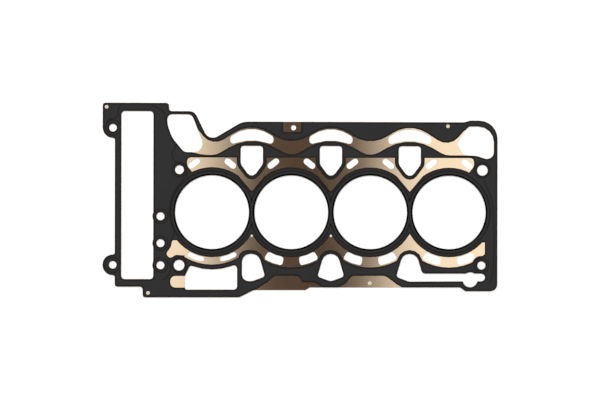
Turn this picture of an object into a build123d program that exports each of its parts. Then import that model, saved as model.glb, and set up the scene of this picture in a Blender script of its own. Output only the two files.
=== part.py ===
"""Cylinder head gasket for a 2-litre in-line four, multi-layer steel, built in millimetres.

Frame: the underside lies on Z = 0, X runs along the row of bores towards the flywheel end,
Y runs across the block, and the origin is midway between the second and third bores.
"""

from build123d import *
import os
from math import acos, ceil, cos, degrees, radians, sin, tan

# ---------------------------------------------------------------- driving dimensions (mm)
BORE_PITCH = 91.0        # spacing of the cylinders, for 84 mm bores
BORE_RADIUS = 42.6       # combustion opening in the steel
CARRIER_THICKNESS = 0.45  # plain bare backing sheet
FORMED_THICKNESS = 0.25   # formed spring-steel sheet with its black elastomer coat

BEAD_RADIUS = 45.4       # crest of the full bead round each bore
BEAD_HALF_WIDTH = 1.15
BEAD_HEIGHT = 0.20
BEAD_CREST = 0.50         # flat along the top of each bead, where the cylinder head first lands

# valve reliefs: shallow scallops that widen each bore, as (distance from its centre, radius, angle)
RELIEFS = [(19.45, 24.3, 39.5), (19.45, 24.3, 140.5), (23.5, 20.5, 228.5), (23.5, 20.5, 311.5)]

BOLT_HOLE_DIAMETER = 12.3     # the two dowelled head-bolt corners
CORNER_HOLE_DIAMETERS = [10.2, 9.5]
TIMING_HOLE_DIAMETER = 9.2
TIMING_BOSS_RADIUS = 9.2
LUG_HOLE_DIAMETER = 8.8
LOCATING_HOLE_DIAMETER = 5.9
BLEED_HOLE_DIAMETER = 2.9
RIVET_SHANK_DIAMETER = 2.2
RIVET_HEAD_DIAMETER = 4.4
RIVET_HEAD_HEIGHT = 0.45
RIVET_CROWN_DIAMETER = 2.4

LEFT, RIGHT = -261.7, 192.4   # timing end and flywheel end of the sheet
TOP, TOP_EDGE = 125.2, 104.0  # timing flange and the long upper edge
BOTTOM, BOTTOM_EDGE = -97.8, -86.5
WALL = -247.7                 # outer wall of the timing case
LUG_RADIUS = 11.6

RING_RADIUS = 51.7            # coat round each bore
BOLT_BORDER = 11.0            # coat round the corner bolt holes
SLOT_INNER, SLOT_OUTER = 52.2, 62.2  # curved coolant slots, measured from the bore centre
FIRST_SLOT_OUTER = 58.0       # shallower under the first bore, beside the oil drain
SLOT_SPAN = (9.5, 30.5)       # degrees from -Y
CAPSULE = (20.8, 56.0, 37.5)  # small coolant slots: offset from the bore, height, slant in degrees

# ---------------------------------------------------------------- places
BORES = [(BORE_PITCH * i, 0.0) for i in (-1.5, -0.5, 0.5, 1.5)]
LANDS = [-BORE_PITCH, 0.0, BORE_PITCH]  # middles of the three walls between the bores
DOWEL_HOLES = [(175.0, 48.7), (-174.2, -60.9)]
CORNER_HOLES = [(-173.9, 48.7), (174.0, -61.1)]
TIMING_HOLES = [(-195.5, -4.8), (-195.5, -35.6), (-195.5, -60.9)]
LUG_HOLES = [(-250.0, 96.6), (-250.0, -60.5)]
BOLT_HOLES = (
    [(x, y, BOLT_HOLE_DIAMETER) for x, y in DOWEL_HOLES]
    + [(x, y, diameter) for (x, y), diameter in zip(CORNER_HOLES, CORNER_HOLE_DIAMETERS)]
    + [(x, y, TIMING_HOLE_DIAMETER) for x, y in TIMING_HOLES]
    + [(x, y, LUG_HOLE_DIAMETER) for x, y in LUG_HOLES]
)
LOCATING_HOLE = (-43.1, 97.2)
BLEED_HOLES = [(x, -27.0) for x in LANDS]
RIVETS = [(-257.2, 120.5), (135.1, 99.4), (-209.6, -92.7), (45.1, -81.7)]
FLANGE_RIVET = 3              # stands in a window, so its head seats on the carrier

STACK_THICKNESS = CARRIER_THICKNESS + FORMED_THICKNESS
OUTLINE_SAG = 0.20            # the visible sheet's outer corners are cut finer than the rest
PLAIN_HOLE_SIDES = 20         # sides of the bolt holes that nothing locates on
WINDOW_ARC_SIDES = 48         # sides of the circles that bound the windows

# ---------------------------------------------------------------- outlines, each corner as (x, y, radius)
OUTLINE = [
    (LEFT, TOP, 3.0),
    (-186.0, TOP, 3.0),
    (-186.0, 115.8, 3.0),
    (-156.9, 115.8, 9.0),
    (-140.0, 81.2, 10.0),
    (-101.7, TOP_EDGE, 24.0),
    (154.5, TOP_EDGE, 8.0),
    (160.0, TOP_EDGE + 2.0, 8.0),
    (RIGHT, TOP_EDGE + 2.0, 21.0),
    (RIGHT, -90.9, 8.0),
    (155.4, -90.9, 3.0),
    (149.6, BOTTOM_EDGE, 3.0),
    (-24.2, BOTTOM_EDGE, 2.0),
    (-29.0, -89.5, 2.0),
    (-88.7, -89.5, 6.0),
    (-105.0, BOTTOM, 8.0),
    (-215.6, BOTTOM, 2.5),
    (-215.9, -85.6, 3.0),
    (WALL, -85.6, 3.0),
    (WALL, -60.5 - LUG_RADIUS - 0.2, 2.0),
    (LEFT, -60.5 - LUG_RADIUS - 0.2, LUG_RADIUS),
    (LEFT, -60.5 + LUG_RADIUS + 0.2, LUG_RADIUS),
    (WALL, -60.5 + LUG_RADIUS + 0.2, 2.0),
    (WALL, 96.6 - LUG_RADIUS, 2.0),
    (LEFT, 96.6 - LUG_RADIUS, LUG_RADIUS),
]
TUNNEL = [(-240.4, 115.8, 3.5), (-203.7, 115.8, 3.5), (-203.7, -76.9, 3.5), (-240.4, -76.9, 3.5)]
SHIELD = [(-12.8, 76.3, 3.2), (12.8, 76.3, 3.2), (12.8, 55.4, 5.0), (0.0, 38.0, 6.0), (-12.8, 55.4, 5.0)]
SHIELD_COAT = [(-17.2, 90.0, 1.0), (17.2, 90.0, 1.0), (17.2, 54.0, 9.0), (0.0, 30.8, 10.0),
               (-17.2, 54.0, 9.0)]
ARCH = [(7.7, -47.9, 10.0), (15.4, -73.9, 3.0), (0.0, -79.5, 8.0), (-15.4, -73.9, 3.0), (-7.7, -47.9, 10.0)]
ARCH_STRAIGHT = [(7.9, -47.9, 10.0), (15.4, -73.9, 3.0), (0.9, -79.2, 8.0), (-11.1, -79.2, 7.5),
                 (-11.1, -47.9, 9.0)]
CRESCENT = [(0.0, 104.4, 38.0), (24.9, 86.7, 3.0), (24.9, 77.4, 3.6), (0.0, 85.7, 57.4),
            (-24.9, 77.4, 3.6), (-24.9, 86.7, 3.0)]
OIL_SLOT = [(83.2, -47.9, 9.5), (98.9, -47.9, 10.0), (105.6, -70.5, 4.0), (178.3, -70.5, 4.2),
            (178.3, -79.4, 4.2), (90.0, -79.8, 8.0), (75.4, -74.1, 3.0)]
OIL_SLOT_BOSS = (161.0, -77.6, 8.7)
CAPSULE_OUTLINE = [(-7.75, -3.6, 3.5), (7.75, -3.6, 3.5), (7.75, 3.6, 3.5), (-7.75, 3.6, 3.5)]
LOWER_LEFT = [(-161.6, -60.9, 2.5), (-136.5, -70.0, 65.8), (-107.6, -59.5, 3.5), (-107.6, -89.0, 3.5),
              (-167.6, -89.0, 2.0), (-167.6, -73.5, 5.0)]
UPPER_LEFT = [(-188.0, 112.3, 5.5), (-159.8, 112.3, 6.0), (-142.8, 68.8, 10.0), (-168.6, 68.8, 7.0),
              (-182.6, 85.6, 25.0), (-188.0, 101.0, 25.0)]
UPPER_RIGHT = [(158.6, 99.3, 5.0), (188.3, 99.3, 18.0), (188.3, 61.6, 7.5), (178.5, 61.9, 8.0),
               (168.5, 65.3, 12.0), (153.4, 66.0, 5.0), (145.2, 80.0, 4.0)]


def chord_loop(corners, dx=0.0, sag=0.35):
    """Closed outline from (x, y, radius) corners, each rounded corner cut as chords within sag of its arc."""
    points = []
    for i, (x, y, radius) in enumerate(corners):
        here, before = Vector(x, y), Vector(corners[i - 1][:2])
        after = Vector(corners[(i + 1) % len(corners)][:2])
        if radius == 0:
            points.append(here)
            continue
        back, onward = (before - here).normalized(), (after - here).normalized()
        half = radians(back.get_angle(onward)) / 2
        centre = here + (back + onward).normalized() * (radius / sin(half))
        spoke = here + back * (radius / tan(half)) - centre
        turn = (180 - 2 * degrees(half)) * (-1 if back.cross(onward).Z > 0 else 1)
        chords = ceil(abs(turn) / degrees(2 * acos(1 - sag / radius)))
        points += [centre + spoke.rotate(Axis.Z, turn * k / chords) for k in range(chords + 1)]
    with BuildSketch() as shape:
        with BuildLine():
            Polyline([(p.X + dx, p.Y) for p in points], close=True)
        make_face()
    return shape.sketch


def ring_slot(x, near, far, inner, outer, radius):
    """Slot that curves with the bore at x, between two angles from -Y, with its corners eased."""
    middle = (near + far) / 2
    spots = [(inner, near, radius), (inner, middle, 0), (inner, far, radius),
             (outer, far, radius), (outer, middle, 0), (outer, near, radius)]
    return chord_loop([(x + d * sin(radians(a)), -d * cos(radians(a)), r) for d, a, r in spots])


# ---------------------------------------------------------------- openings that both sheets share
with BuildSketch() as bore_openings:
    with Locations(*BORES):
        Circle(BORE_RADIUS)
    for bx, by in BORES:
        for distance, radius, angle in RELIEFS:
            with Locations((bx + distance * cos(radians(angle)), by + distance * sin(radians(angle)))):
                Circle(radius)

with BuildSketch() as case_openings:
    add(chord_loop(TUNNEL))
    with Locations(*TIMING_HOLES):
        Circle(TIMING_BOSS_RADIUS, mode=Mode.SUBTRACT)
    for x in LANDS:
        add(chord_loop(SHIELD, x))
    for outline, x in ((ARCH_STRAIGHT, LANDS[0]), (ARCH, LANDS[1]), (OIL_SLOT, 0.0)):
        add(chord_loop(outline, x))
    with Locations(OIL_SLOT_BOSS[:2]):
        RegularPolygon(OIL_SLOT_BOSS[2], 20)
    for opening in (LOWER_LEFT, UPPER_LEFT, UPPER_RIGHT):
        add(chord_loop(opening))

PLAIN_HOLES = CORNER_HOLES + [TIMING_HOLES[1]]
with BuildSketch() as bolt_openings:
    for x, y, diameter in BOLT_HOLES:
        with Locations((x, y)):
            if (x, y) in PLAIN_HOLES:
                RegularPolygon(diameter / 2, PLAIN_HOLE_SIDES)
            else:
                Circle(diameter / 2)

with BuildSketch() as rivet_holes:
    with Locations(*RIVETS):
        RegularPolygon(RIVET_SHANK_DIAMETER / 2, 12)

with BuildSketch() as coolant_openings:
    for x in LANDS:
        add(chord_loop(CRESCENT, x))
    for bx, _ in BORES:
        outer = FIRST_SLOT_OUTER if bx == BORES[0][0] else SLOT_OUTER
        for side in (-1, 1):
            with Locations(Location((bx + side * CAPSULE[0], CAPSULE[1], 0), (0, 0, -side * CAPSULE[2]))):
                add(chord_loop(CAPSULE_OUTLINE))
            add(ring_slot(bx, side * SLOT_SPAN[0], side * SLOT_SPAN[1], SLOT_INNER, outer, 2.6))
    with Locations(*BLEED_HOLES):
        RegularPolygon(BLEED_HOLE_DIAMETER / 2, 12)

# ---------------------------------------------------------------- windows of the formed sheet
WAVE = [(-91.0, 104.5, 37.0), (-45.5, 74.6, 37.0), (0.0, 104.5, 37.0), (45.5, 74.6, 37.0),
        (91.0, 104.5, 37.0)]
UNDER_WAVE = [(91.0, 89.6, 52.0), (45.5, 63.4, 19.0), (0.0, 89.6, 52.0), (-45.5, 63.4, 19.0),
              (-91.0, 89.6, 52.0)]
UPPER_WINDOW = (
    [(-154.0, 96.2, 2.0), (-136.5, 74.6, 18.0)] + WAVE
    + [(136.5, 74.6, 18.0), (157.0, 97.8, 2.0), (160.0, 80.0, 2.0), (160.0, 65.8, 0.5), (131.9, 65.9, 19.0)]
    + UNDER_WAVE
    + [(-131.9, 65.7, 19.0), (-146.0, 65.7, 30.0), (-162.0, 69.4, 1.0), (-160.0, 80.0, 2.0)]
)
MIDDLE_WINDOW = [(-165.2, 62.8, 4.0), (165.4, 62.8, 4.0), (165.4, 53.0, 5.0), (158.0, 44.0, 4.0),
                 (140.0, 20.0, 1.0), (-140.0, 20.0, 1.0), (-158.0, 44.5, 4.0), (-165.2, 53.0, 5.0)]
FLANGE_PATCHES = [
    [(-92.0, -93.0, 0), (-71.0, -79.0, 3.0), (-65.0, -73.1, 5.0), (-37.0, -73.1, 5.0), (-32.6, -80.7, 3.0),
     (-18.8, -80.7, 5.0), (1.9, -93.0, 0)],
    [(-5.9, -93.0, 0), (16.6, -82.6, 5.0), (24.5, -73.1, 5.0), (62.8, -73.1, 8.0), (76.5, -83.2, 8.0),
     (94.0, -93.0, 0)],
]
LOCATING_PATCH = [(-55.0, 92.2, 0.5), (-34.4, 92.2, 0.5), (-34.4, 110.0, 0.5), (-55.0, 110.0, 0.5)]
TAB = [(-184.2, -73.3, 5.5), (-164.0, -73.3, 1.0), (-164.0, -86.6, 1.0), (-184.2, -86.6, 5.5)]
LOBE = [(-182.0, -32.3, 1.5), (-176.6, -32.3, 2.0), (-166.0, -43.0, 4.0), (-166.0, -50.0, 3.0),
        (-178.0, -49.0, 3.0), (-184.8, -53.4, 3.0), (-189.2, -47.9, 3.0), (-183.6, -40.0, 6.0)]
LOWER_WINDOW_RADII = [60.2, 63.5, 63.5, 63.5]
LOWER_WINDOW_TOP = -25.0
# where the ends of the lower window stop lower than its peaks between the bores, as (from x, to x, above y)
LOWER_WINDOW_ENDS = [(-250.0, -168.0, -60.0), (160.0, 250.0, -34.6), (178.0, 250.0, -70.0)]
LAND_BRIDGE = (24.0, 12.0, -40.0)  # bare steel that joins the window over each land: width, height, middle
ARCH_COAT = [(11.0, -43.4, 14.2), (22.0, -80.6, 0), (-22.0, -80.6, 0), (-11.0, -43.4, 14.2)]
ARCH_STRAIGHT_COAT = [(11.0, -43.4, 14.2), (22.0, -80.6, 0), (-15.5, -80.6, 0), (-15.5, -43.4, 10.0)]
V_WINDOW = [(-20.0, 47.5, 0), (20.0, 47.5, 0), (0.0, 23.7, 1.0)]

with BuildSketch() as window_openings:
    for (bx, by), radius in zip(BORES, LOWER_WINDOW_RADII):
        with Locations((bx, by)):
            RegularPolygon(radius, WINDOW_ARC_SIDES)
    with Locations((0, LOWER_WINDOW_TOP)):
        Rectangle(500, 150, align=(Align.CENTER, Align.MIN), mode=Mode.SUBTRACT)
    for start, end, top in LOWER_WINDOW_ENDS:
        with Locations((start, top)):
            Rectangle(end - start, 100, align=(Align.MIN, Align.MIN), mode=Mode.SUBTRACT)
    with Locations(*[(x, LAND_BRIDGE[2]) for x in LANDS]):
        Rectangle(LAND_BRIDGE[0], LAND_BRIDGE[1])
    add(chord_loop(LOBE))
    with Locations(DOWEL_HOLES[1], CORNER_HOLES[1]):
        Circle(BOLT_BORDER, mode=Mode.SUBTRACT)
    for outline, x in ((ARCH_STRAIGHT_COAT, LANDS[0]), (ARCH_COAT, LANDS[1]), (ARCH_COAT, LANDS[2])):
        add(chord_loop(outline, x), mode=Mode.SUBTRACT)
    add(chord_loop(MIDDLE_WINDOW))
    with Locations(*BORES):
        RegularPolygon(RING_RADIUS, WINDOW_ARC_SIDES, mode=Mode.SUBTRACT)
    for x in LANDS:
        add(chord_loop(V_WINDOW, x))
        add(chord_loop(SHIELD_COAT, x), mode=Mode.SUBTRACT)
    for window in (UPPER_WINDOW, FLANGE_PATCHES[0], FLANGE_PATCHES[1], LOCATING_PATCH, TAB):
        add(chord_loop(window))

# ---------------------------------------------------------------- full beads round the bores
with BuildPart() as beads:
    for bx, _ in BORES:
        with BuildSketch(Plane((bx, 0, 0), x_dir=(1, 0, 0), z_dir=(0, -1, 0))):
            with Locations((BEAD_RADIUS, 0)):
                Polygon((-BEAD_HALF_WIDTH, 0), (BEAD_HALF_WIDTH, 0), (BEAD_CREST / 2, BEAD_HEIGHT),
                        (-BEAD_CREST / 2, BEAD_HEIGHT), align=None)
        revolve(axis=Axis((bx, 0, 0), (0, 0, 1)))

# ---------------------------------------------------------------- the pieces
with BuildPart() as formed_layer:
    with BuildSketch(Plane.XY.offset(CARRIER_THICKNESS)):
        add(chord_loop(OUTLINE, sag=OUTLINE_SAG))
        for openings in (bore_openings, case_openings, bolt_openings, window_openings, rivet_holes):
            add(openings.sketch, mode=Mode.SUBTRACT)
    extrude(amount=FORMED_THICKNESS)
    add(beads.part.moved(Location((0, 0, STACK_THICKNESS))))
    add(beads.part.moved(Location((0, 0, CARRIER_THICKNESS))), mode=Mode.SUBTRACT)

with BuildPart() as carrier_layer:
    with BuildSketch():
        add(chord_loop(OUTLINE))
        for openings in (bore_openings, case_openings, bolt_openings, coolant_openings, rivet_holes):
            add(openings.sketch, mode=Mode.SUBTRACT)
        with Locations(LOCATING_HOLE):
            Circle(LOCATING_HOLE_DIAMETER / 2, mode=Mode.SUBTRACT)
    extrude(amount=CARRIER_THICKNESS)

with BuildPart() as rivets:
    for i, (rx, ry) in enumerate(RIVETS):
        seat = CARRIER_THICKNESS if i == FLANGE_RIVET else STACK_THICKNESS
        with BuildSketch():
            with Locations((rx, ry)):
                RegularPolygon(RIVET_SHANK_DIAMETER / 2, 12)
        extrude(amount=seat)
        for height, radius in ((0, RIVET_HEAD_DIAMETER / 2), (RIVET_HEAD_HEIGHT, RIVET_CROWN_DIAMETER / 2)):
            with BuildSketch(Plane.XY.offset(seat + height)):
                with Locations((rx, ry)):
                    RegularPolygon(radius, 16)
        loft()

os.makedirs("parts", exist_ok=True)
formed_layer.part.label = "formed_layer"
carrier_layer.part.label = "carrier_layer"
rivets.part.label = "rivets"
export_step(formed_layer.part, "parts/formed_layer.step")
export_step(carrier_layer.part, "parts/carrier_layer.step")
export_step(rivets.part, "parts/rivets.step")
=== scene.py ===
"""Finish of a multi-layer steel cylinder head gasket, laid out as a Blender add-on."""

import math

import bmesh
import bpy
from mathutils import Matrix, Vector


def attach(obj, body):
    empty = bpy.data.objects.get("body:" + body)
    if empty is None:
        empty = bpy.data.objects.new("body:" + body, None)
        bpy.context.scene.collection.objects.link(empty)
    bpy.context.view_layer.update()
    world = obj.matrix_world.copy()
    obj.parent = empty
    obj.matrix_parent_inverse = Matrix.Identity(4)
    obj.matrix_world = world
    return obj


bl_info = {
    "name": "Cylinder Head Gasket Finish",
    "version": (1, 0, 0),
    "blender": (4, 5, 0),
    "location": "View3D > Sidebar > Gasket",
    "description": "Coat, bare steel and embossed sealing lines of a four-cylinder head gasket",
    "category": "Object",
}

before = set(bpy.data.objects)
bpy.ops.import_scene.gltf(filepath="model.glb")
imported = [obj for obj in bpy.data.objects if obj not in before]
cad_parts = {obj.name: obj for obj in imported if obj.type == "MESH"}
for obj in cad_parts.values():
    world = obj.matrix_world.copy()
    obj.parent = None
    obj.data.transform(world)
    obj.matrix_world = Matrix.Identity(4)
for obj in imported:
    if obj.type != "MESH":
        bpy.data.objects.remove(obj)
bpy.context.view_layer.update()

MM = 0.001
ROOT = "root"

# ---------------------------------------------------------------- heights and places, in millimetres
COAT_TOP = 0.70          # top of the formed sheet
STEEL_TOP = 0.45         # top of the bare carrier
SUNK = 0.04              # how far a raised line reaches into the sheet under it
EDGE_MARGIN = 0.25       # how far a pressed border stays back from the edge beside it
DIMPLE_RADIUS, DIMPLE_WIDTH, DIMPLE_HEIGHT = 0.9, 0.6, 0.15

BORE_X = (-136.5, -45.5, 45.5, 136.5)
BEAD_FEET = (44.05, 46.75)   # where the full bead leaves the sheet, inside and outside

# rings pressed round single holes: (x, y, radius of the crest)
HOLE_RINGS = (
    (-195.5, -4.8, 8.4), (-195.5, -35.6, 8.4), (-195.5, -60.9, 8.4),
    (-250.0, 96.6, 8.6), (-250.0, -60.5, 8.6),
    (175.0, 48.7, 9.0), (-174.2, -60.9, 9.0), (-173.9, 48.7, 8.4), (174.0, -61.1, 8.4),
)

# half beads that cross the coat between the passages
FLANGE_LINE = ((-240.8, 122.5), (-243.7, 119.5), (-244.2, 111.8), (-246.0, 109.0), (-248.9, 107.1),
               (-254.7, 105.6), (-258.0, 101.6))
CASE_LINE = ((-205.8, 122.6), (-192.7, 115.7), (-189.8, 104.0), (-183.2, 84.4), (-178.5, 75.6),
             (-182.6, 66.1), (-178.1, 56.7), (-170.1, 56.0), (-165.4, 47.2), (-167.2, 40.7), (-180.5, 22.4),
             (-185.4, 2.0), (-183.2, -13.0), (-179.7, -24.0), (-183.2, -30.7))
LOWER_LINE = ((-190.9, -53.7), (-185.5, -58.2), (-184.4, -67.5), (-187.2, -73.6), (-193.2, -78.1))
FLYWHEEL_LINE = ((176.7, 37.0), (187.1, 7.1), (188.1, -60.7), (183.4, -82.5))
LINES = (("flange", FLANGE_LINE), ("case", CASE_LINE), ("lower", LOWER_LINE), ("flywheel", FLYWHEEL_LINE))

DIMPLES = ((173.4, -37.2), (-178.3, -34.1))

# ---------------------------------------------------------------- patterns, in millimetres
THIN_SPOTS = 55.6        # spacing of the coat's slight changes of tone
PEBBLE_DEPTH = 0.02
ROLLING_STRETCH = 0.04   # width of a rolling line over its length
ROLLING_DEPTH = 0.01
DULL_PATCHES = 33.3      # spacing of the duller patches on the bare sheet
RIVET_MOTTLE = 1.11      # spacing of the marks that the setting tool leaves

COAT_IOR, PRESSED_IOR = 1.40, 1.30
PRESSED_ROUGHNESS = 0.45
RIVET_ROUGHNESS = 0.35

# ---------------------------------------------------------------- stage, in metres
FLOOR_REACH = 6.0        # from the middle of the floor to its sides
FLOOR_DROP = 0.0003      # below the gasket, so that the two never lie in one plane
FLOOR_ROUGHNESS = 0.9
LAMP_SIZE = (2.4, 1.6)
LAMP_PLACE = (-0.8, 1.8, 2.0)  # its X is counted from the middle of the frame
LOWEST_HEIGHT = 0.01     # keeps the sideways reach finite near the horizon
VIEW_DEPTH = 50.0
SENSOR_MM = 36.0

WELD = 1e-7              # points nearer than this are one
LEVEL = 1e-5             # a face nearer than this to a height lies at it


def linear(hex_colour):
    """Linear RGBA from an sRGB hex colour."""
    channels = [int(hex_colour[i:i + 2], 16) / 255 for i in (1, 3, 5)]
    return [c / 12.92 if c <= 0.04045 else ((c + 0.055) / 1.055) ** 2.4 for c in channels] + [1.0]


# ---------------------------------------------------------------- settings a user would change
class CoatSettings(bpy.types.PropertyGroup):
    """The elastomer coat on the formed sheet."""

    colour: bpy.props.StringProperty(name="Coat", description="Colour of the coat", default="#1A191B")
    # The pressed lines' colour is painted shade: darker than the coat so that it stands for the shade on the
    # slopes of the half beads, rings and borders.
    pressed: bpy.props.StringProperty(
        name="Pressed lines", description="Colour of the coat where the tool has pressed it",
        default="#120D0B")
    roughness: bpy.props.FloatProperty(
        name="Roughness", description="Dullness of the coat", default=0.55, min=0.0, max=1.0)
    grain: bpy.props.FloatProperty(
        name="Grain", description="Size of the coat's fine texture", default=0.6 * MM, unit="LENGTH")


class SteelSettings(bpy.types.PropertyGroup):
    """The bare rolled sheet and the rivets."""

    colour: bpy.props.StringProperty(name="Steel", description="Colour of the bare sheet", default="#FFE6C4")
    roughness: bpy.props.FloatProperty(
        name="Roughness", description="Dullness of the rolled surface", default=0.10, min=0.0, max=1.0)
    grain: bpy.props.FloatProperty(
        name="Rolling grain", description="Spacing of the rolling lines", default=0.5 * MM, unit="LENGTH")
    rivet: bpy.props.StringProperty(name="Rivet", description="Colour of the rivet heads", default="#F6ECD6")


class BeadSettings(bpy.types.PropertyGroup):
    """The lines pressed into the formed sheet."""

    line_width: bpy.props.FloatProperty(
        name="Line width", description="Width of a half bead", default=1.3 * MM, unit="LENGTH")
    line_height: bpy.props.FloatProperty(
        name="Line height", description="Height of a half bead", default=0.10 * MM, unit="LENGTH")
    foot_width: bpy.props.FloatProperty(
        name="Foot width", description="Width of the step at each foot of a bore's full bead",
        default=0.5 * MM, unit="LENGTH")
    border_width: bpy.props.FloatProperty(
        name="Border width", description="Width of the pressed border beside each edge",
        default=1.9 * MM, unit="LENGTH")
    border_height: bpy.props.FloatProperty(
        name="Border height", description="Height of the pressed border", default=0.05 * MM, unit="LENGTH")


class StageSettings(bpy.types.PropertyGroup):
    """Floor, light and camera."""

    floor: bpy.props.StringProperty(name="Floor", description="Colour of the floor", default="#FFFFFF")
    lamp_power: bpy.props.FloatProperty(
        name="Lamp power", description="Power of the side softbox", default=46.0, min=0.0, unit="POWER")
    even_light: bpy.props.FloatProperty(
        name="Even light", description="Strength of the light that comes from all round",
        default=0.75, min=0.0)
    camera_height: bpy.props.FloatProperty(
        name="Camera height", description="Distance of the camera over the sheet", default=1.2, unit="LENGTH")
    tilt: bpy.props.FloatProperty(
        name="Tilt", description="Turn of the camera off straight down", default=math.radians(1.2),
        subtype="ANGLE")
    roll: bpy.props.FloatProperty(
        name="Roll", description="Turn of the frame about the line of sight", default=math.radians(0.1),
        subtype="ANGLE")
    span: bpy.props.FloatProperty(
        name="Span", description="Width that the frame covers at the sheet", default=0.6901, unit="LENGTH")
    gap: bpy.props.FloatVectorProperty(
        name="Gap", default=(-0.100, -0.018, 0.067, 0.142), size=4,
        description="Sideways reach per unit of height at which the left panel starts to fade, is gone, "
        "and the right panel starts and is full")
    gap_colour: bpy.props.StringProperty(
        name="Gap colour", description="What the metal mirrors in the gap between the panels",
        default="#463833")
    centre: bpy.props.FloatVectorProperty(
        name="Centre", description="Point of the sheet in the middle of the frame",
        default=(-0.0355, 0.0141), size=2, subtype="XYZ")


# ---------------------------------------------------------------- materials
def node(tree, kind, settings=None, **links):
    """A new node with its settings, and its inputs linked or set by name."""
    made = tree.nodes.new(kind)
    for name, value in (settings or {}).items():
        setattr(made, name, value)
    for name, value in links.items():
        socket = made.inputs[name.replace("_", " ")]
        if isinstance(value, bpy.types.NodeSocket):
            tree.links.new(value, socket)
        else:
            socket.default_value = value
    return made


def blank(name):
    """An empty material and its tree, shader and object coordinates."""
    material = bpy.data.materials.new(name)
    material.use_nodes = True
    tree = material.node_tree
    tree.nodes.clear()
    shader = node(tree, "ShaderNodeBsdfPrincipled")
    node(tree, "ShaderNodeOutputMaterial", Surface=shader.outputs["BSDF"])
    place = node(tree, "ShaderNodeTexCoord").outputs["Object"]
    return material, tree, shader, place


def elastomer_coat(name, colour, roughness, grain, ior=COAT_IOR):
    """Elastomer screened on spring steel: a dull black skin with a faint pebble and slight thin spots."""
    material, tree, shader, place = blank(name)
    cloud = node(tree, "ShaderNodeTexNoise", Vector=place, Scale=1.0 / (THIN_SPOTS * MM), Detail=3.0)
    tone = node(tree, "ShaderNodeValToRGB", Fac=cloud.outputs["Fac"])
    even = linear(colour)[:3]
    tone.color_ramp.elements[0].position, tone.color_ramp.elements[1].position = 0.3, 0.7
    tone.color_ramp.elements[0].color = [c * 0.88 for c in even] + [1.0]
    tone.color_ramp.elements[1].color = [c * 1.12 for c in even] + [1.0]
    tree.links.new(tone.outputs["Color"], shader.inputs["Base Color"])
    pebble = node(tree, "ShaderNodeTexNoise", Vector=place, Scale=1.0 / grain, Detail=2.0)
    bump = node(tree, "ShaderNodeBump", Height=pebble.outputs["Fac"], Strength=0.12,
                Distance=PEBBLE_DEPTH * MM)
    tree.links.new(bump.outputs["Normal"], shader.inputs["Normal"])
    shader.inputs["Roughness"].default_value = roughness
    shader.inputs["IOR"].default_value = ior
    return material


def rolled_stainless(name, colour, roughness, grain):
    """Bright-annealed stainless strip, tinted straw: nearly a mirror, with fine lines along the rolling."""
    material, tree, shader, place = blank(name)
    stretch = node(tree, "ShaderNodeMapping", Vector=place, Scale=(ROLLING_STRETCH, 1.0, 1.0))
    lines = node(tree, "ShaderNodeTexNoise", Vector=stretch.outputs["Vector"], Scale=1.0 / grain,
                 Detail=3.0)
    tone = node(tree, "ShaderNodeValToRGB", Fac=lines.outputs["Fac"])
    tone.color_ramp.elements[0].position, tone.color_ramp.elements[1].position = 0.3, 0.7
    tone.color_ramp.elements[0].color = [c * 0.95 for c in linear(colour)[:3]] + [1.0]
    tone.color_ramp.elements[1].color = linear(colour)
    tree.links.new(tone.outputs["Color"], shader.inputs["Base Color"])
    cloud = node(tree, "ShaderNodeTexNoise", Vector=place, Scale=1.0 / (DULL_PATCHES * MM), Detail=2.0)
    dull = node(tree, "ShaderNodeMapRange", Value=cloud.outputs["Fac"],
                To_Min=roughness * 0.85, To_Max=roughness * 1.15)
    tree.links.new(dull.outputs["Result"], shader.inputs["Roughness"])
    bump = node(tree, "ShaderNodeBump", Height=lines.outputs["Fac"], Strength=0.04,
                Distance=ROLLING_DEPTH * MM)
    tree.links.new(bump.outputs["Normal"], shader.inputs["Normal"])
    shader.inputs["Metallic"].default_value = 1.0
    return material


def bright_rivet_steel(name, colour, roughness):
    """Soft steel rivet, set cold: bright, with a faint mottle from the setting tool."""
    material, tree, shader, place = blank(name)
    mottle = node(tree, "ShaderNodeTexNoise", Vector=place, Scale=1.0 / (RIVET_MOTTLE * MM), Detail=2.0)
    tone = node(tree, "ShaderNodeValToRGB", Fac=mottle.outputs["Fac"])
    tone.color_ramp.elements[0].color = [c * 0.85 for c in linear(colour)[:3]] + [1.0]
    tone.color_ramp.elements[1].color = linear(colour)
    tree.links.new(tone.outputs["Color"], shader.inputs["Base Color"])
    shader.inputs["Metallic"].default_value = 1.0
    shader.inputs["Roughness"].default_value = roughness
    return material


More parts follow.
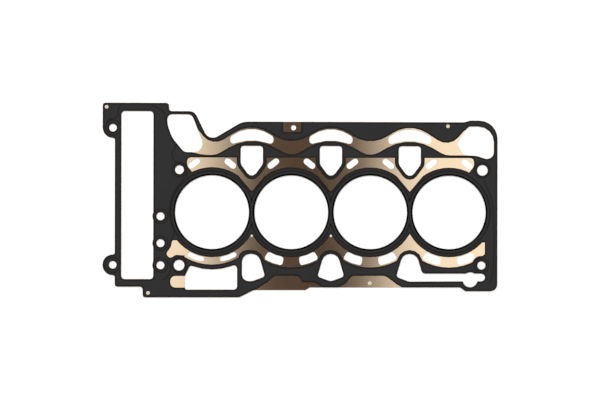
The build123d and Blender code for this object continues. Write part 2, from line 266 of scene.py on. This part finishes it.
def light_panels(name, gap, gap_colour, even_light):
    """A studio of even white light. What metal mirrors is two panels overhead and the dim gap between."""
    world = bpy.data.worlds.new(name)
    world.use_nodes = True
    tree = world.node_tree
    tree.nodes.clear()
    way = node(tree, "ShaderNodeSeparateXYZ", Vector=node(tree, "ShaderNodeTexCoord").outputs["Generated"])
    height = node(tree, "ShaderNodeMath", {"operation": "MAXIMUM"})
    tree.links.new(way.outputs["Z"], height.inputs[0])
    height.inputs[1].default_value = LOWEST_HEIGHT
    reach = node(tree, "ShaderNodeMath", {"operation": "DIVIDE"})
    tree.links.new(way.outputs["X"], reach.inputs[0])
    tree.links.new(height.outputs[0], reach.inputs[1])
    panel = node(tree, "ShaderNodeMath", {"operation": "MAXIMUM"})
    panels = ((gap[0], gap[1], 1.0, 0.0), (gap[2], gap[3], 0.0, 1.0))
    for side, (start, end, first, last) in enumerate(panels):
        edge = node(tree, "ShaderNodeMapRange", {"interpolation_type": "SMOOTHSTEP"},
                    Value=reach.outputs[0], From_Min=start, From_Max=end, To_Min=first, To_Max=last)
        tree.links.new(edge.outputs["Result"], panel.inputs[side])
    mirrored = node(tree, "ShaderNodeMix", {"data_type": "RGBA"})
    tree.links.new(panel.outputs[0], mirrored.inputs["Factor"])
    mirrored.inputs[6].default_value = linear(gap_colour)
    mirrored.inputs[7].default_value = (1.0, 1.0, 1.0, 1.0)
    seen = node(tree, "ShaderNodeMix", {"data_type": "RGBA"})
    tree.links.new(node(tree, "ShaderNodeLightPath").outputs["Is Glossy Ray"], seen.inputs["Factor"])
    seen.inputs[6].default_value = (even_light, even_light, even_light, 1.0)
    tree.links.new(mirrored.outputs[2], seen.inputs[7])
    sky = node(tree, "ShaderNodeBackground", Color=seen.outputs[2], Strength=1.0)
    node(tree, "ShaderNodeOutputWorld", Surface=sky.outputs["Background"])
    return world


def dress(name, material):
    """Gives a CAD node its finish."""
    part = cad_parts[name]
    part.data.materials.clear()
    part.data.materials.append(material)


def pressed_coat_painted_shade(settings):
    """The coat's finish on the pressed lines, darker than the coat as painted shade of their slopes, made
    once.
    """
    found = bpy.data.materials.get("pressed_coat_painted_shade")
    return found or elastomer_coat("pressed_coat_painted_shade", settings.pressed, PRESSED_ROUGHNESS, settings.grain,
                                   PRESSED_IOR)


# ---------------------------------------------------------------- shapes
def settle(mesh, name, material):
    """Closes a bmesh into an object that rides on the gasket."""
    bmesh.ops.remove_doubles(mesh, verts=mesh.verts, dist=WELD)
    bmesh.ops.recalc_face_normals(mesh, faces=mesh.faces)
    data = bpy.data.meshes.new(name)
    mesh.to_mesh(data)
    mesh.free()
    piece = bpy.data.objects.new(name, data)
    bpy.context.scene.collection.objects.link(piece)
    data.materials.append(material)
    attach(piece, ROOT)
    return piece


def profile(mesh, width, height, sunk):
    """A low rounded section across X, standing at the origin, as a closed loop of edges."""
    spots = [(-width / 2, -sunk), (-width / 2, 0.0), (-width / 4, height * 0.8), (0.0, height),
             (width / 4, height * 0.8), (width / 2, 0.0), (width / 2, -sunk)]
    verts = [mesh.verts.new((x, 0.0, z)) for x, z in spots]
    return verts, [mesh.edges.new((verts[i], verts[(i + 1) % len(verts)])) for i in range(len(verts))]


def add_ring(mesh, x, y, z, radius, width, height, steps=72):
    """A ridge spun round the point x, y, all in metres."""
    verts, edges = profile(mesh, width, height, SUNK * MM)
    bmesh.ops.translate(mesh, verts=verts, vec=(x + radius, y, z))
    bmesh.ops.spin(mesh, geom=verts + edges, cent=(x, y, z), axis=(0, 0, 1), angle=math.tau, steps=steps,
                   use_merge=True)


def smooth_course(points, cuts=4):
    """The points in metres, with a Catmull-Rom curve between them, as a tool draws a line in one sweep."""
    spots = [Vector((x * MM, y * MM, 0.0)) for x, y in points]
    spots = [spots[0] * 2 - spots[1]] + spots + [spots[-1] * 2 - spots[-2]]
    course = []
    for a, b, c, d in zip(spots, spots[1:], spots[2:], spots[3:]):
        for k in range(cuts):
            t = k / cuts
            course.append(0.5 * (2 * b + (c - a) * t + (2 * a - 5 * b + 4 * c - d) * t ** 2
                                 + (3 * b - a - 3 * c + d) * t ** 3))
    return course + [spots[-2]]


def add_line(mesh, points, z, width, height):
    """A ridge swept along a course: its section is extruded and carried from point to point."""
    course = smooth_course(points)
    verts, edges = profile(mesh, width, height, SUNK * MM)
    heading = math.atan2((course[1] - course[0]).y, (course[1] - course[0]).x)
    bmesh.ops.rotate(mesh, verts=verts, cent=(0, 0, 0),
                     matrix=Matrix.Rotation(heading - math.pi / 2, 3, "Z"))
    bmesh.ops.translate(mesh, verts=verts, vec=course[0] + Vector((0, 0, z)))
    bmesh.ops.contextual_create(mesh, geom=edges)
    for i in range(1, len(course)):
        made = bmesh.ops.extrude_edge_only(mesh, edges=edges)["geom"]
        verts = [g for g in made if isinstance(g, bmesh.types.BMVert)]
        edges = [g for g in made
                 if isinstance(g, bmesh.types.BMEdge) and all(v in verts for v in g.verts)]
        bmesh.ops.translate(mesh, verts=verts, vec=course[i] - course[i - 1])
        onward = course[min(i + 1, len(course) - 1)] - course[i - 1]
        turned = math.atan2(onward.y, onward.x)
        bmesh.ops.rotate(mesh, verts=verts, cent=course[i] + Vector((0, 0, z)),
                         matrix=Matrix.Rotation(turned - heading, 3, "Z"))
        heading = turned
    bmesh.ops.contextual_create(mesh, geom=edges)


# ---------------------------------------------------------------- operators
class GASKET_OT_coat(bpy.types.Operator):
    """Finish the formed sheet in its black elastomer coat"""

    bl_idname = "gasket.coat"
    bl_label = "Coat"

    def execute(self, context):
        s = context.scene.gasket_coat
        dress("formed_layer", elastomer_coat("elastomer_coat", s.colour, s.roughness, s.grain))
        return {"FINISHED"}


class GASKET_OT_steel(bpy.types.Operator):
    """Finish the bare carrier sheet and the rivets"""

    bl_idname = "gasket.steel"
    bl_label = "Bare steel and rivets"

    def execute(self, context):
        s = context.scene.gasket_steel
        dress("carrier_layer", rolled_stainless("rolled_stainless", s.colour, s.roughness, s.grain))
        dress("rivets", bright_rivet_steel("bright_rivet_steel", s.rivet, RIVET_ROUGHNESS))
        return {"FINISHED"}


class GASKET_OT_hole_rings(bpy.types.Operator):
    """Press a ring round each bolt hole"""

    bl_idname = "gasket.hole_rings"
    bl_label = "Rings round the bolt holes"

    def execute(self, context):
        s = context.scene.gasket_beads
        mesh = bmesh.new()
        for x, y, radius in HOLE_RINGS:
            add_ring(mesh, x * MM, y * MM, COAT_TOP * MM, radius * MM, s.line_width, s.line_height)
        # the rings are real ridges; their darker coat is painted shade of their slopes
        settle(mesh, "hole_rings", pressed_coat_painted_shade(context.scene.gasket_coat))
        return {"FINISHED"}


class GASKET_OT_half_beads(bpy.types.Operator):
    """Press the half beads that cross the coat"""

    bl_idname = "gasket.half_beads"
    bl_label = "Half beads"

    def execute(self, context):
        s = context.scene.gasket_beads
        for name, points in LINES:
            mesh = bmesh.new()
            add_line(mesh, points, COAT_TOP * MM, s.line_width, s.line_height)
            # the half beads are real ridges; their darker coat is painted shade of their slopes
            settle(mesh, f"half_bead_{name}", pressed_coat_painted_shade(context.scene.gasket_coat))
        return {"FINISHED"}


class GASKET_OT_bore_lines(bpy.types.Operator):
    """Draw the two feet of the full bead round each bore"""

    bl_idname = "gasket.bore_lines"
    bl_label = "Feet of the full beads"

    def execute(self, context):
        s = context.scene.gasket_beads
        mesh = bmesh.new()
        for x in BORE_X:
            for radius in BEAD_FEET:
                add_ring(mesh, x * MM, 0.0, COAT_TOP * MM, radius * MM, s.foot_width, s.border_height,
                         steps=128)
        settle(mesh, "bore_bead_feet", bpy.data.materials["elastomer_coat"])
        return {"FINISHED"}


class GASKET_OT_borders(bpy.types.Operator):
    """Raise the pressed border beside each edge of the formed sheet, darker in colour as painted shade of the
    edge
    """

    bl_idname = "gasket.borders"
    bl_label = "Pressed borders"

    def execute(self, context):
        s = context.scene.gasket_beads
        mesh = bmesh.new()
        mesh.from_mesh(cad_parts["formed_layer"].data)
        bmesh.ops.remove_doubles(mesh, verts=mesh.verts, dist=WELD)
        top = {f for f in mesh.faces
               if f.normal.z > 0.99 and abs(f.calc_center_median().z - COAT_TOP * MM) < LEVEL}
        bmesh.ops.delete(mesh, geom=[f for f in mesh.faces if f not in top], context="FACES")
        bmesh.ops.inset_region(mesh, faces=mesh.faces[:], thickness=EDGE_MARGIN * MM, use_boundary=True)
        rim = bmesh.ops.inset_region(mesh, faces=mesh.faces[:], thickness=s.border_width, use_boundary=True)
        keep = set(rim["faces"])
        bmesh.ops.delete(mesh, geom=[f for f in mesh.faces if f not in keep], context="FACES")
        bmesh.ops.translate(mesh, verts=mesh.verts, vec=(0, 0, -SUNK * MM))
        base = mesh.faces[:]
        raised = bmesh.ops.extrude_face_region(mesh, geom=base, use_keep_orig=True)["geom"]
        bmesh.ops.translate(mesh, verts=[g for g in raised if isinstance(g, bmesh.types.BMVert)],
                            vec=(0, 0, SUNK * MM + s.border_height))
        # a low raised strip beside each edge; its darker coat is painted shade along the edges
        settle(mesh, "pressed_borders_painted_shade", pressed_coat_painted_shade(context.scene.gasket_coat))
        return {"FINISHED"}


class GASKET_OT_dimples(bpy.types.Operator):
    """Punch the two locating dimples in the bare steel"""

    bl_idname = "gasket.dimples"
    bl_label = "Dimples"

    def execute(self, context):
        mesh = bmesh.new()
        for x, y in DIMPLES:
            add_ring(mesh, x * MM, y * MM, STEEL_TOP * MM, DIMPLE_RADIUS * MM, DIMPLE_WIDTH * MM,
                     DIMPLE_HEIGHT * MM, steps=24)
        settle(mesh, "dimples", bpy.data.materials["rolled_stainless"])
        return {"FINISHED"}


class GASKET_OT_stage(bpy.types.Operator):
    """Lay the floor and set up light and camera"""

    bl_idname = "gasket.stage"
    bl_label = "Stage"

    def execute(self, context):
        s = context.scene.gasket_stage
        scene = context.scene
        scene.view_settings.view_transform = "Standard"
        mesh = bmesh.new()
        bmesh.ops.create_grid(mesh, x_segments=1, y_segments=1, size=FLOOR_REACH)
        data = bpy.data.meshes.new("floor")
        mesh.to_mesh(data)
        mesh.free()
        floor = bpy.data.objects.new("floor", data)
        floor.location.z = -FLOOR_DROP
        scene.collection.objects.link(floor)
        material, tree, shader, _ = blank("paper_floor")
        shader.inputs["Base Color"].default_value = linear(s.floor)
        shader.inputs["Roughness"].default_value = FLOOR_ROUGHNESS
        data.materials.append(material)

        scene.world = light_panels("light_panels", s.gap, s.gap_colour, s.even_light)
        lamp = bpy.data.lights.new("softbox", "AREA")
        lamp.shape, lamp.energy = "RECTANGLE", s.lamp_power
        lamp.size, lamp.size_y = LAMP_SIZE
        box = bpy.data.objects.new("softbox", lamp)
        box.location = (s.centre[0] + LAMP_PLACE[0], *LAMP_PLACE[1:])
        box.rotation_euler = (-box.location).to_track_quat("-Z", "Y").to_euler()
        box.visible_glossy = False  # the bare steel mirrors the panels alone and never burns out
        scene.collection.objects.link(box)

        camera = bpy.data.objects.new("camera", bpy.data.cameras.new("camera"))
        camera.data.sensor_width = SENSOR_MM
        camera.data.lens = SENSOR_MM * s.camera_height / s.span
        target = Vector((s.centre[0], s.centre[1], STEEL_TOP * MM))
        camera.rotation_euler = (0.0, -s.tilt, s.roll)
        camera.location = (target
                           + camera.rotation_euler.to_matrix() @ Vector((0.0, 0.0, s.camera_height)))
        camera.data.clip_end = VIEW_DEPTH
        scene.collection.objects.link(camera)
        scene.camera = camera
        return {"FINISHED"}


class GASKET_PT_panel(bpy.types.Panel):
    """The pieces of the gasket's finish."""

    bl_label = "Head gasket"
    bl_space_type = "VIEW_3D"
    bl_region_type = "UI"
    bl_category = "Gasket"

    def draw(self, context):
        for group in ("gasket_coat", "gasket_steel", "gasket_beads", "gasket_stage"):
            settings = getattr(context.scene, group)
            box = self.layout.box()
            for name in settings.bl_rna.properties.keys():
                if name not in ("rna_type", "name"):
                    box.prop(settings, name)
        for operator in OPERATORS:
            self.layout.operator(operator.bl_idname)


SETTINGS = (("gasket_coat", CoatSettings), ("gasket_steel", SteelSettings), ("gasket_beads", BeadSettings),
            ("gasket_stage", StageSettings))
OPERATORS = (GASKET_OT_coat, GASKET_OT_steel, GASKET_OT_borders, GASKET_OT_bore_lines, GASKET_OT_hole_rings,
             GASKET_OT_half_beads, GASKET_OT_dimples, GASKET_OT_stage)


def register():
    for name, settings in SETTINGS:
        bpy.utils.register_class(settings)
        setattr(bpy.types.Scene, name, bpy.props.PointerProperty(type=settings))
    for operator in OPERATORS:
        bpy.utils.register_class(operator)
    bpy.utils.register_class(GASKET_PT_panel)


def unregister():
    bpy.utils.unregister_class(GASKET_PT_panel)
    for operator in reversed(OPERATORS):
        bpy.utils.unregister_class(operator)
    for name, settings in reversed(SETTINGS):
        delattr(bpy.types.Scene, name)
        bpy.utils.unregister_class(settings)


def main():
    register()
    for operator in OPERATORS:
        group, name = operator.bl_idname.split(".")
        getattr(getattr(bpy.ops, group), name)()


if __name__ == "__main__":
    main()
